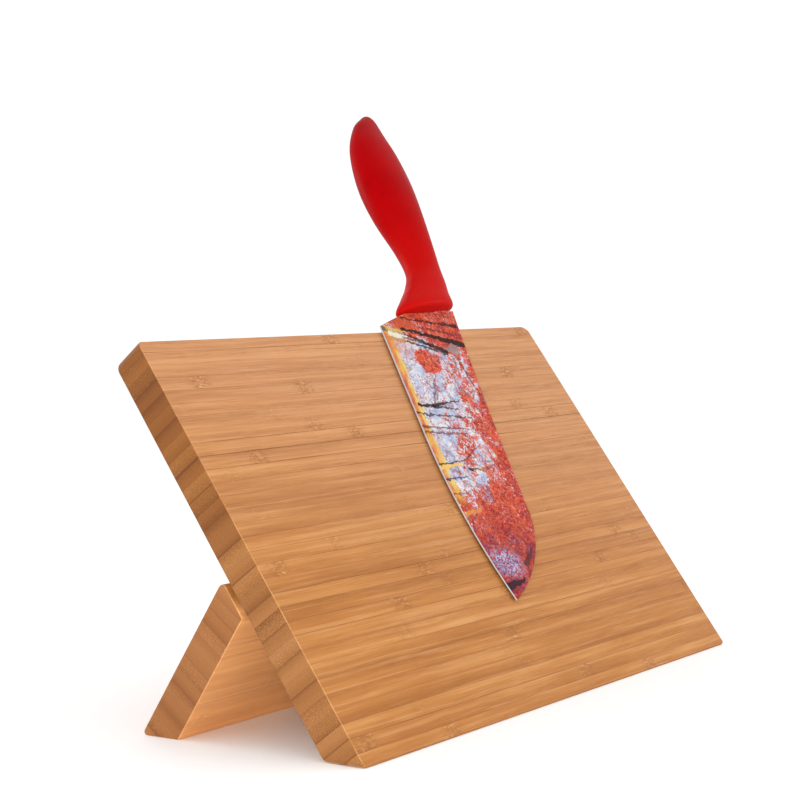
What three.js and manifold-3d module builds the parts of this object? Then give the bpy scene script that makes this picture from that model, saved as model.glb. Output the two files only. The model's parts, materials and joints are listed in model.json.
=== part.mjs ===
// A bamboo board that stands leaning back on a hinged bamboo leg and holds kitchen knives on its front face.
// Bar magnets lie in two slots milled from the back of the board. One knife hangs on the face.
//
// Everything is drawn upright: the board's front face is the plane y = 0, depth runs along +y into the
// board, and height runs along +z from the front bottom edge. The whole assembly is then leaned back.
import * as THREE from "three";
import { mergeVertices } from "three/addons/utils/BufferGeometryUtils.js";
import Module from "manifold-3d";

const wasm = await Module();
wasm.setup();

// Driving dimensions, in millimetres and degrees.
const BOARD_WIDTH = 300;
const BOARD_HEIGHT = 210;
const STOCK = 18; // thickness of the bamboo board and of the leg
const LEAN = 34.5; // the board's lean back from the vertical
const OPENING = 71.5; // angle between the board's back and the open leg
const TOP_CORNERS = { left: 3, right: 5.5 }; // radii of the board's corners seen from the front
const BOTTOM_CORNERS = { left: 3, right: 2 };
const BACK_RADIUS = { top: 2.2, foot: 2.5 }; // of the board's back edges seen from the end
const EASE = 0.8; // rounding of the other edges of both boards

const HINGE_HEIGHT = 80.5; // of the hinge axis above the front bottom edge, measured up the board
const HINGE_OFFSET = 100; // of each hinge from the middle of the board
const HINGE_LENGTH = 38;
const HINGE_GAP = 3; // between the board's back and the leg's bevelled top
const LEAF_THICKNESS = 1.2;
const LEAF_WIDTH = 13; // from the hinge axis to the leaf's far edge
const KNUCKLE_RADIUS = 1.4;
const KNUCKLES = 5;
const PIN_RADIUS = 0.7;
const PIN_CLEARANCE = 0.08;
const PIN_PROJECTION = 0.5;
const LEG_OFFSET = 1.8; // of the leg's inner face from the hinge axis
const LEG_TOP_RADIUS = 2.6;

const SCREW_LENGTH = 12;
const SCREW_HEAD_RADIUS = 2.5;
const SCREW_SHANK_RADIUS = 1.4;
const SCREW_HEAD_DEPTH = 1.1;
const SCREW_POINT = 2.5;
const SCREW_SPACING = 12.5;
const SCREW_HEIGHT = 7.6; // of the screws above the hinge axis
const RECESS = { length: 2.6, width: 0.7, depth: 0.8 }; // of the cross in a screw head

const SLOT_HEIGHTS = { lower: 48, upper: 152 };
const SLOT_LENGTH = 280;
const SLOT_WIDTH = 23;
const FRONT_SKIN = 1.6; // bamboo left between a slot and the front face
const MAGNETS_PER_SLOT = 5;
const MAGNET = { length: 46, thickness: 5, width: 20 };
const MAGNET_PITCH = 52;
const KEEPER = { length: 256, thickness: 1.5, width: 20 };

const BLADE_THICKNESS = 2;
const KNIFE_TILT = 12.5; // of the knife from upright, in the plane of the board
const KNIFE_PLACE = { across: 68, height: 223 }; // of the middle of the handle's collar
const EDGE_OFFSET = -46.5; // of the straight part of the cutting edge
const EDGE_RISE = { start: -90, length: 92, height: 16.5 }; // the edge's sweep up to the tip
const BEVEL_WIDTH = 2; // of the ground cutting edge
const BEVEL_THICKNESS = 1.5; // of the blade at the top of the bevel
const EDGE_THICKNESS = 0.24;
const BLADE_TIP = { x: -30, z: -182 };
const HEEL = { x: EDGE_OFFSET, z: -21 };
const NECK_END = { x: -24, z: -8.8 }; // where the back of the heel meets the collar
const SPINE_TOP = { x: 18.5, z: 1.5 };
const SPINE_END = { x: 8.5, z: -128 }; // where the spine turns down to the tip
const SPINE_MIDDLE = { x: 11, z: -60 }; // steers the spine's upper curve
const SPINE_NOSE = { x: 7, z: -146 }; // with TIP_APPROACH, steers the curve down to the tip
const TIP_APPROACH = { x: -6, z: -166 };
const TRIM = 8; // of the blank past the cutting edge, before it is trimmed
const TANG = { x: 9, width: 13, root: -10, length: 64 };

const GAP = 0.15; // left between pieces that touch
const REACH = 1; // of a cutter past the face it cuts, and of joined pieces into each other

// Numbers of steps in curves.
const ARC_STEPS = 3;
const ROUND_STEPS = 20;
const SPINE_STEPS = 12;
const WEDGE_STEPS = 32;
const HANDLE_SIDES = 20;
const HANDLE_STEPS = 3; // between one station of the handle and the next

const rad = THREE.MathUtils.degToRad;
const lean = rad(LEAN);
const opening = rad(OPENING);

const BAMBOO = new THREE.MeshStandardMaterial({ color: 0xd9a06c, roughness: 0.55, metalness: 0 });
const BAMBOO_LEG = new THREE.MeshStandardMaterial({ color: 0xc98a55, roughness: 0.6, metalness: 0 });
const MAGNET_PLATING = new THREE.MeshStandardMaterial({ color: 0xc8c8c6, roughness: 0.3, metalness: 1 });
const KEEPER_STEEL = new THREE.MeshStandardMaterial({ color: 0x8d9093, roughness: 0.5, metalness: 1 });
const BRASS = new THREE.MeshStandardMaterial({ color: 0xb08d4a, roughness: 0.4, metalness: 1 });
const PRINTED_BLADE = new THREE.MeshStandardMaterial({ color: 0xc96a5e, roughness: 0.3, metalness: 0.4 });
const RED_PLASTIC = new THREE.MeshStandardMaterial({ color: 0xc40d15, roughness: 0.4, metalness: 0 });

// ---------------------------------------------------------------- solids and shapes

// A closed geometry as a manifold-3d solid.
function solidOf(geometry) {
  const loose = geometry.index ? geometry.toNonIndexed() : geometry;
  const bare = new THREE.BufferGeometry();
  bare.setAttribute("position", loose.getAttribute("position"));
  const merged = mergeVertices(bare, 1e-4);
  const mesh = new wasm.Mesh({
    numProp: 3,
    vertProperties: merged.attributes.position.array,
    triVerts: merged.index.array,
  });
  return new wasm.Manifold(mesh);
}

function geometryOf(solid) {
  const mesh = solid.getMesh();
  const geometry = new THREE.BufferGeometry();
  geometry.setAttribute("position", new THREE.BufferAttribute(mesh.vertProperties, 3));
  geometry.setIndex(new THREE.BufferAttribute(mesh.triVerts, 1));
  return geometry;
}

// base with the geometries in joined added to it and those in removed cut away.
function shaped(base, joined, removed) {
  let solid = solidOf(base);
  for (const tool of joined) solid = solid.add(solidOf(tool));
  for (const tool of removed) solid = solid.subtract(solidOf(tool));
  return geometryOf(solid);
}

function common(a, b) {
  return geometryOf(solidOf(a).intersect(solidOf(b)));
}

// A closed outline through the corners, each { x, y, r } rounded to its radius by an arc.
function roundedOutline(corners) {
  const shape = new THREE.Shape();
  corners.forEach((corner, i) => {
    const point = new THREE.Vector2(corner.x, corner.y);
    const before = corners[(i + corners.length - 1) % corners.length];
    const after = corners[(i + 1) % corners.length];
    const back = new THREE.Vector2(before.x, before.y).sub(point).normalize();
    const on = new THREE.Vector2(after.x, after.y).sub(point).normalize();
    const half = Math.acos(back.dot(on)) / 2;
    const along = corner.r / Math.tan(half);
    const start = back.clone().multiplyScalar(along).add(point);
    if (i === 0) shape.moveTo(start.x, start.y);
    else shape.lineTo(start.x, start.y);
    if (corner.r === 0) return;
    const end = on.clone().multiplyScalar(along).add(point);
    const centre = back.clone().add(on).normalize().multiplyScalar(corner.r / Math.sin(half)).add(point);
    const from = Math.atan2(start.y - centre.y, start.x - centre.x);
    const to = Math.atan2(end.y - centre.y, end.x - centre.x);
    const clockwise = back.cross(on) > 0;
    shape.absarc(centre.x, centre.y, corner.r, from, to, clockwise);
  });
  return shape;
}

// An outline extruded to a length along z, its two end faces eased by a quarter round.
function easedExtrusion(shape, length, ease) {
  const geometry = new THREE.ExtrudeGeometry(shape, {
    depth: length - 2 * ease,
    curveSegments: ARC_STEPS,
    bevelEnabled: ease > 0,
    bevelThickness: ease,
    bevelSize: ease,
    bevelOffset: -ease,
    bevelSegments: ARC_STEPS,
  });
  return geometry.translate(0, 0, ease);
}

// A slab whose outline is drawn in x and z, between two depths.
function slab(shape, front, back, ease = 0) {
  return easedExtrusion(shape, back - front, ease).rotateX(Math.PI / 2).translate(0, back, 0);
}

// A bar across the board whose section is drawn in depth and height, centred on x = 0.
function crossBar(shape, length, ease = 0) {
  const turn = new THREE.Matrix4().makeBasis(
    new THREE.Vector3(0, 1, 0),
    new THREE.Vector3(0, 0, 1),
    new THREE.Vector3(1, 0, 0),
  );
  return easedExtrusion(shape, length, ease).applyMatrix4(turn).translate(-length / 2, 0, 0);
}

// A box given by its lowest and highest corner.
function boxBetween(low, high) {
  const size = high.map((value, i) => value - low[i]);
  const centre = high.map((value, i) => (value + low[i]) / 2);
  return new THREE.BoxGeometry(...size).translate(...centre);
}

// A round bar along x between two ends.
function roundBar(radius, from, to) {
  const bar = new THREE.CylinderGeometry(radius, radius, to - from, ROUND_STEPS);
  return bar.rotateZ(Math.PI / 2).translate((from + to) / 2, 0, 0);
}

const root = new THREE.Group();
const upright = new THREE.Group();
upright.rotation.x = -lean;
root.add(upright);

// The knife is drawn about the middle of its collar, its cutting edge towards -x and its handle up.
const knife = new THREE.Group();
knife.position.set(KNIFE_PLACE.across, -2 * GAP - BLADE_THICKNESS / 2, KNIFE_PLACE.height);
knife.rotation.y = rad(KNIFE_TILT);
upright.add(knife);

function place(group, name, geometry, material, x = 0, y = 0, z = 0) {
  const mesh = new THREE.Mesh(geometry, material);
  mesh.name = name;
  mesh.position.set(x, y, z);
  group.add(mesh);
}

// ---------------------------------------------------------------- hinges and screws

// A countersunk screw with its head's face at z = 0 and its point down, grown all round by extra.
function screwBlank(extra) {
  const profile = [
    [0, extra],
    [SCREW_HEAD_RADIUS + extra, extra],
    [SCREW_HEAD_RADIUS + extra, -GAP],
    [SCREW_SHANK_RADIUS + extra, -SCREW_HEAD_DEPTH],
    [SCREW_SHANK_RADIUS + extra, SCREW_POINT - SCREW_LENGTH],
    [0, -SCREW_LENGTH - extra],
  ];
  const points = profile.map(([radius, height]) => new THREE.Vector2(radius, height)).reverse();
  return new THREE.LatheGeometry(points, ROUND_STEPS).rotateX(Math.PI / 2);
}

function screw() {
  const { length, width, depth } = RECESS;
  const across = boxBetween([-length / 2, -width / 2, -depth], [length / 2, width / 2, REACH]);
  return shaped(screwBlank(0), [], [across, across.clone().rotateZ(Math.PI / 2)]);
}

// The screws of one leaf: their place along x, their depth, and which way their points face.
const screwRow = [-SCREW_SPACING, 0, SCREW_SPACING];
const hingeDepth = STOCK + HINGE_GAP / 2;
const leafFace = { board: hingeDepth - GAP, leg: hingeDepth + GAP };
const screwTurn = { board: -Math.PI / 2, leg: Math.PI / 2 };

function screwAt(geometry, leaf, x) {
  return geometry
    .clone()
    .rotateX(screwTurn[leaf])
    .translate(x, leafFace[leaf], HINGE_HEIGHT + SCREW_HEIGHT);
}

function screwHoles(leaf) {
  const holes = [];
  for (const hinge of [-HINGE_OFFSET, HINGE_OFFSET])
    for (const x of screwRow) holes.push(screwAt(screwBlank(GAP), leaf, hinge + x));
  return holes;
}

// One leaf around its own axis: a plate up from the axis, with every second knuckle, bored for the pin.
function hingeLeaf(leaf) {
  const side = leaf === "board" ? -1 : 1;
  const firstKnuckle = leaf === "board" ? 0 : 1;
  const faces = [side * GAP, side * (GAP + LEAF_THICKNESS)].sort((a, b) => a - b);
  const clear = KNUCKLE_RADIUS + 2 * GAP;
  const half = HINGE_LENGTH / 2;
  const pitch = HINGE_LENGTH / KNUCKLES;
  const plate = boxBetween([-half, faces[0], clear], [half, faces[1], LEAF_WIDTH]);
  const joined = [];
  for (let i = firstKnuckle; i < KNUCKLES; i += 2) {
    const from = -half + i * pitch + (i > 0 ? GAP : 0);
    const to = -half + (i + 1) * pitch - (i < KNUCKLES - 1 ? GAP : 0);
    joined.push(roundBar(KNUCKLE_RADIUS, from, to));
    joined.push(boxBetween([from, faces[0], 0], [to, faces[1], clear + REACH]));
  }
  const bore = roundBar(PIN_RADIUS + PIN_CLEARANCE, -half - REACH, half + REACH);
  const holes = screwRow.map((x) => screwAt(screwBlank(GAP), leaf, x));
  for (const hole of holes) hole.translate(0, -hingeDepth, -HINGE_HEIGHT);
  return shaped(plate, joined, [bore, ...holes]);
}

function addHinges() {
  const leaves = { board: hingeLeaf("board"), leg: hingeLeaf("leg") };
  const pinHalf = HINGE_LENGTH / 2 + PIN_PROJECTION;
  const pin = roundBar(PIN_RADIUS, -pinHalf, pinHalf);
  for (const [side, x] of [["left", -HINGE_OFFSET], ["right", HINGE_OFFSET]]) {
    place(upright, `hinge_${side}_pin`, pin, BRASS, x, hingeDepth, HINGE_HEIGHT);
    for (const leaf of ["board", "leg"]) {
      place(upright, `hinge_${side}_${leaf}_leaf`, leaves[leaf], BRASS, x, hingeDepth, HINGE_HEIGHT);
      screwRow.forEach((offset, i) => {
        place(upright, `hinge_${side}_${leaf}_screw_${i + 1}`, screwAt(screw(), leaf, x + offset), BRASS);
      });
    }
  }
}

// ---------------------------------------------------------------- board

// A slot's outline, or that of the strip that fills it, with half-round ends.
function slotOutline(length, width, height) {
  const [x, z, r] = [length / 2, width / 2, width / 2 - GAP];
  return roundedOutline([
    { x: -x, y: height - z, r },
    { x, y: height - z, r },
    { x, y: height + z, r },
    { x: -x, y: height + z, r },
  ]);
}

function addBoard() {
  const half = BOARD_WIDTH / 2;
  const outline = roundedOutline([
    { x: -half, y: 0, r: BOTTOM_CORNERS.left },
    { x: half, y: 0, r: BOTTOM_CORNERS.right },
    { x: half, y: BOARD_HEIGHT, r: TOP_CORNERS.right },
    { x: -half, y: BOARD_HEIGHT, r: TOP_CORNERS.left },
  ]);
  // The foot slopes at the lean, so that it lies flat on the table.
  const section = roundedOutline([
    { x: 0, y: 0, r: 0 },
    { x: STOCK, y: STOCK * Math.tan(lean), r: BACK_RADIUS.foot },
    { x: STOCK, y: BOARD_HEIGHT, r: BACK_RADIUS.top },
    { x: 0, y: BOARD_HEIGHT, r: 0 },
  ]);
  const slots = Object.values(SLOT_HEIGHTS).map((height) =>
    slab(slotOutline(SLOT_LENGTH, SLOT_WIDTH, height), FRONT_SKIN, STOCK + REACH),
  );
  const blank = common(slab(outline, 0, STOCK, EASE), crossBar(section, BOARD_WIDTH));
  place(upright, "front_board", shaped(blank, [], [...slots, ...screwHoles("board")]), BAMBOO);
}

// Each slot holds a row of bar magnets, a steel keeper behind them and a bamboo strip that closes it.
function addMagnets() {
  const magnetFront = FRONT_SKIN + GAP;
  const keeperFront = magnetFront + MAGNET.thickness + GAP;
  const fillerFront = keeperFront + KEEPER.thickness + GAP;
  const magnet = new THREE.BoxGeometry(MAGNET.length, MAGNET.thickness, MAGNET.width);
  const keeper = new THREE.BoxGeometry(KEEPER.length, KEEPER.thickness, KEEPER.width);
  for (const [row, height] of Object.entries(SLOT_HEIGHTS)) {
    for (let i = 0; i < MAGNETS_PER_SLOT; i += 1) {
      const x = (i - (MAGNETS_PER_SLOT - 1) / 2) * MAGNET_PITCH;
      const y = magnetFront + MAGNET.thickness / 2;
      place(upright, `magnet_${row}_${i + 1}`, magnet, MAGNET_PLATING, x, y, height);
    }
    const keeperMiddle = keeperFront + KEEPER.thickness / 2;
    place(upright, `keeper_${row}`, keeper, KEEPER_STEEL, 0, keeperMiddle, height);
    const strip = slotOutline(SLOT_LENGTH - 2 * GAP, SLOT_WIDTH - 2 * GAP, height);
    place(upright, `filler_${row}`, slab(strip, fillerFront, STOCK), BAMBOO);
  }
}

// ---------------------------------------------------------------- leg

// A point of the open leg: its distance out from the hinge axis, and its place along the leg from the axis.
function legPoint(out, along) {
  const turned = new THREE.Vector2(out, along).rotateAround(new THREE.Vector2(0, 0), opening);
  return turned.add(new THREE.Vector2(hingeDepth, HINGE_HEIGHT));
}

// Where a line along the leg meets the bevel, which lies parallel to the board's back.
function legAtBevel(out) {
  return (out * Math.cos(opening) - HINGE_GAP / 2) / Math.sin(opening);
}

// Where a line along the leg meets the table.
function legAtTable(out) {
  const start = legPoint(out, 0);
  return (start.x * Math.sin(lean) - start.y * Math.cos(lean)) / Math.cos(opening - lean);
}

function addLeg() {
  const [inner, outer] = [LEG_OFFSET, LEG_OFFSET + STOCK];
  const corners = [
    [inner, legAtTable(inner), 0],
    [outer, legAtTable(outer), 0],
    [outer, legAtBevel(outer), LEG_TOP_RADIUS],
    [inner, legAtBevel(inner), 0],
  ];
  const section = roundedOutline(
    corners.map(([out, along, r]) => {
      const point = legPoint(out, along);
      return { x: point.x, y: point.y, r };
    }),
  );
  place(upright, "leg", shaped(crossBar(section, BOARD_WIDTH, EASE), [], screwHoles("leg")), BAMBOO_LEG);
}

// ---------------------------------------------------------------- knife

// The cutting edge's offset at a height: straight from the heel, then a parabola up to the tip.
function edgeAt(z) {
  const swept = Math.max(0, EDGE_RISE.start - z) / EDGE_RISE.length;
  return EDGE_OFFSET + EDGE_RISE.height * swept ** 2;
}

// A closed skin over rings that all have the same number of points.
function loft(rings) {
  const count = rings[0].length;
  const positions = rings.flat().flatMap((point) => point.toArray());
  const indices = [];
  for (let i = 0; i < rings.length - 1; i += 1) {
    for (let j = 0; j < count; j += 1) {
      const [a, b] = [i * count + j, i * count + ((j + 1) % count)];
      indices.push(a, b, b + count, a, b + count, a + count);
    }
  }
  const last = (rings.length - 1) * count;
  for (let j = 1; j < count - 1; j += 1) {
    indices.push(0, j + 1, j, last, last + j, last + j + 1);
  }
  const geometry = new THREE.BufferGeometry();
  geometry.setAttribute("position", new THREE.Float32BufferAttribute(positions, 3));
  return geometry.setIndex(indices);
}

// The wedge that gives the blade its section: full thickness behind the bevel, thin at the edge.
function bladeWedge() {
  const [bottom, top] = [BLADE_TIP.z - TRIM, SPINE_TOP.z + TRIM];
  const rings = [];
  for (let i = 0; i <= WEDGE_STEPS; i += 1) {
    const z = bottom + ((top - bottom) * i) / WEDGE_STEPS;
    const edge = edgeAt(z);
    const section = [
      [edge, EDGE_THICKNESS],
      [edge + BEVEL_WIDTH, BEVEL_THICKNESS],
      [SPINE_TOP.x + TRIM, BLADE_THICKNESS],
    ];
    const near = section.map(([x, thickness]) => new THREE.Vector3(x, -thickness / 2, z));
    const far = section.map(([x, thickness]) => new THREE.Vector3(x, thickness / 2, z)).reverse();
    rings.push([...near, ...far]);
  }
  return loft(rings);
}

// The blade's side view, run past the cutting edge, which the wedge trims.
function bladeOutline() {
  const shape = new THREE.Shape();
  shape.moveTo(SPINE_TOP.x, SPINE_TOP.z);
  shape.quadraticCurveTo(SPINE_MIDDLE.x, SPINE_MIDDLE.z, SPINE_END.x, SPINE_END.z);
  const approach = [SPINE_NOSE.x, SPINE_NOSE.z, TIP_APPROACH.x, TIP_APPROACH.z];
  shape.bezierCurveTo(...approach, BLADE_TIP.x, BLADE_TIP.z);
  shape.lineTo(HEEL.x - TRIM, BLADE_TIP.z - TRIM);
  shape.lineTo(HEEL.x - TRIM, HEEL.z - TRIM);
  shape.lineTo(HEEL.x, HEEL.z);
  shape.lineTo(NECK_END.x, NECK_END.z);
  return shape;
}

function bladeGeometry() {
  const half = BLADE_THICKNESS / 2;
  const plate = new THREE.ExtrudeGeometry(bladeOutline(), {
    depth: BLADE_THICKNESS,
    curveSegments: SPINE_STEPS,
    bevelEnabled: false,
  });
  plate.rotateX(Math.PI / 2).translate(0, half, 0);
  const [left, right] = [TANG.x - TANG.width / 2, TANG.x + TANG.width / 2];
  const tang = boxBetween([left, -half, TANG.root], [right, half, TANG.length]);
  return shaped(common(plate, bladeWedge()), [tang], []);
}

// The handle's stations: centre, tilt of the section in degrees, half width and half thickness.
const HANDLE_STATIONS = [
  { x: -4, z: -3.6, tilt: 14, width: 20.6, thickness: 7.2 },
  { x: -3.9, z: -2.6, tilt: 14, width: 22.6, thickness: 8.6 },
  { x: -3.3, z: 0.2, tilt: 13, width: 22.6, thickness: 9.2 },
  { x: 0.4, z: 7.5, tilt: 11, width: 18.6, thickness: 8.6 },
  { x: 5, z: 16, tilt: 7, width: 14.6, thickness: 8.3 },
  { x: 8.5, z: 27, tilt: 3, width: 11.6, thickness: 8.4 },
  { x: 9.3, z: 43, tilt: 0, width: 12.2, thickness: 9.8 },
  { x: 7.6, z: 66, tilt: -2, width: 16.8, thickness: 11.6 },
  { x: 7.8, z: 88, tilt: -4, width: 18.6, thickness: 12 },
  { x: 10.2, z: 112, tilt: -8, width: 15.8, thickness: 10.6 },
  { x: 14.2, z: 130, tilt: -16, width: 9.6, thickness: 7.8 },
  { x: 18.8, z: 141, tilt: -26, width: 4.3, thickness: 4.6 },
  { x: 20.8, z: 146.5, tilt: -32, width: 1.1, thickness: 1.4 },
];

function handleGeometry() {
  const centres = HANDLE_STATIONS.map(({ x, z, tilt }) => new THREE.Vector3(x, z, tilt));
  const sizes = HANDLE_STATIONS.map(({ width, thickness }) => new THREE.Vector3(width, thickness, 0));
  const path = new THREE.CatmullRomCurve3(centres, false, "catmullrom");
  const size = new THREE.CatmullRomCurve3(sizes, false, "catmullrom");
  const rings = [];
  const steps = (HANDLE_STATIONS.length - 1) * HANDLE_STEPS;
  for (let i = 0; i <= steps; i += 1) {
    const centre = path.getPoint(i / steps);
    const { x: width, y: thickness } = size.getPoint(i / steps);
    const ring = [];
    for (let j = 0; j < HANDLE_SIDES; j += 1) {
      const angle = (2 * Math.PI * j) / HANDLE_SIDES;
      const across = new THREE.Vector2(width * Math.cos(angle), 0);
      across.rotateAround(new THREE.Vector2(0, 0), rad(centre.z));
      ring.push(new THREE.Vector3(centre.x + across.x, -thickness * Math.sin(angle), centre.y + across.y));
    }
    rings.push(ring);
  }
  const [left, right] = [TANG.x - TANG.width / 2 - GAP, TANG.x + TANG.width / 2 + GAP];
  const slotHalf = BLADE_THICKNESS / 2 + GAP;
  const slot = boxBetween([left, -slotHalf, TANG.root], [right, slotHalf, TANG.length + GAP]);
  return shaped(loft(rings.reverse()), [], [slot]);
}

function addKnife() {
  place(knife, "knife_blade", bladeGeometry(), PRINTED_BLADE);
  place(knife, "knife_handle", handleGeometry(), RED_PLASTIC);
}

addBoard();
addMagnets();
addHinges();
addLeg();
addKnife();

// The origin is the bottom centre of the whole object's box.
root.updateMatrixWorld(true);
const bounds = new THREE.Box3().setFromObject(root, true);
upright.position.y = -(bounds.min.y + bounds.max.y) / 2;

export default root;
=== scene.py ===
"""A leaning bamboo board on a hinged leg, with a printed santoku knife held on its face by magnets."""
import json
import math

import bmesh
import bpy
from mathutils import Matrix, Vector


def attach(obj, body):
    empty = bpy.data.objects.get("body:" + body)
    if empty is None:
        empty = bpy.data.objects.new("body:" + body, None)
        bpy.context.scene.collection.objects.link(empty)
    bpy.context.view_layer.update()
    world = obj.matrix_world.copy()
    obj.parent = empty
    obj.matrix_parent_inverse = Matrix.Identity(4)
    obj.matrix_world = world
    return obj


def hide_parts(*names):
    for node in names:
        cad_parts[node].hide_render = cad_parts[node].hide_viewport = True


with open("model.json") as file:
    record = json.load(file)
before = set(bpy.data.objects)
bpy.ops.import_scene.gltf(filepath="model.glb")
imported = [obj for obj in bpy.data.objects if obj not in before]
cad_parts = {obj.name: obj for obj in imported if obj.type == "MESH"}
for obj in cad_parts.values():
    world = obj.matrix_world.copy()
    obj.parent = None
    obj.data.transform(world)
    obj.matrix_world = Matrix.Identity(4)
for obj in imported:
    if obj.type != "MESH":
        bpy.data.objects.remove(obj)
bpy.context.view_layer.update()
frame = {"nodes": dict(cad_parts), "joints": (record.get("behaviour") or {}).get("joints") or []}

MM = 0.001

# Sizes of the CAD model, in millimetres and radians. Places come from the hinge axis and the lean.
LEAN = math.radians(34.5)
OPENING = math.radians(71.5)
WIDTH = 300.0
HEIGHT = 210.0
STOCK = 18.0
TOP_CORNERS = (3.0, 5.5)  # radii of the board's left and right corners, seen from the front
BOTTOM_CORNERS = (3.0, 2.0)
HINGE_HEIGHT = 80.5
HINGE_GAP = 3.0
LEG_OFFSET = 1.8  # of the leg's inner face from the hinge axis
LEG_TOP_RADIUS = 2.6
HINGE_DEPTH = STOCK + HINGE_GAP / 2

# Edges of the two boards, seen from the end.
EASE = 0.7
FOOT_EASE = 0.9
BACK_TOP_RADIUS = 2.2
BACK_FOOT_RADIUS = 2.5
LEG_HEEL_RADIUS = 1.4
LEG_BEVEL_EASE = 1.0
FOOT_SHARE = 0.6  # how much of a bottom corner's rounding lifts the sloping foot
EASE_STEPS = 5
CORNER_STEPS = 6

SLOT_HEIGHTS = {"lower": 48.0, "upper": 152.0}
SLOT_LENGTH = 280.0
SLOT_WIDTH = 23.0
FRONT_SKIN = 1.6  # bamboo left between a slot and the front face
FILLER_FRONT = 8.55
CUTTER_EXCESS = 5.0  # how far a cutter stands out of the board's back
GAP = 0.15  # clearance round a filler; the knife lies two of these off the board's face

# The knife's own frame: the middle of the handle's collar at rest on the board, x away from the edge, z up.
KNIFE_TILT = math.radians(12.5)
KNIFE_ACROSS = 68.0
KNIFE_UP = 223.0
BLADE_THICKNESS = 2.0
EDGE_THICKNESS = 0.24
BEVEL_THICKNESS = 1.5
BEVEL_WIDTH = 2.0
FULL_THICKNESS_AT = 26.5  # across the blade, where its flat would reach the full thickness
SPINE_EASE = 0.35
TANG = (2.5, 15.5, -10.0, 64.0)  # left, right, root and end

# The blade's outline in x and z: a straight edge that sweeps up to the tip, and the spine's control points.
EDGE_OFFSET = -46.5
RISE_START = -90.0
RISE_LENGTH = 92.0
RISE_HEIGHT = 16.5
TIP = Vector((-30, -182))
HEEL = Vector((EDGE_OFFSET, -21))
NECK_END = Vector((-24, -8.8))
SPINE_TOP = Vector((18.5, 1.5))
SPINE_MIDDLE = Vector((11, -60))
SPINE_END = Vector((8.5, -128))
SPINE_NOSE = Vector((7, -146))
TIP_APPROACH = Vector((-6, -166))

SHARP_ANGLE = 40  # degrees between two faces from which their edge is shaded sharp

joints = {joint["name"]: joint for joint in frame["joints"]}
hinge_point = Vector(joints["leg_hinge"]["pos_m"])

# The upright frame, before the board is leaned back: its front face is y = 0, its front bottom edge z = 0.
lean_turn = Matrix.Rotation(-LEAN, 4, "X")
hinge_place = Vector((0, HINGE_DEPTH, HINGE_HEIGHT))
foot_point = hinge_point - (lean_turn @ hinge_place) * MM
UPRIGHT = Matrix.Translation(foot_point) @ lean_turn
LEG_FRAME = UPRIGHT @ Matrix.Translation(hinge_place * MM) @ Matrix.Rotation(OPENING, 4, "X")
knife_place = Vector((KNIFE_ACROSS, -2 * GAP - BLADE_THICKNESS / 2, KNIFE_UP))
KNIFE_FRAME = UPRIGHT @ Matrix.Translation(knife_place * MM) @ Matrix.Rotation(KNIFE_TILT, 4, "Y")


# ---------------------------------------------------------------- node graphs

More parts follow.
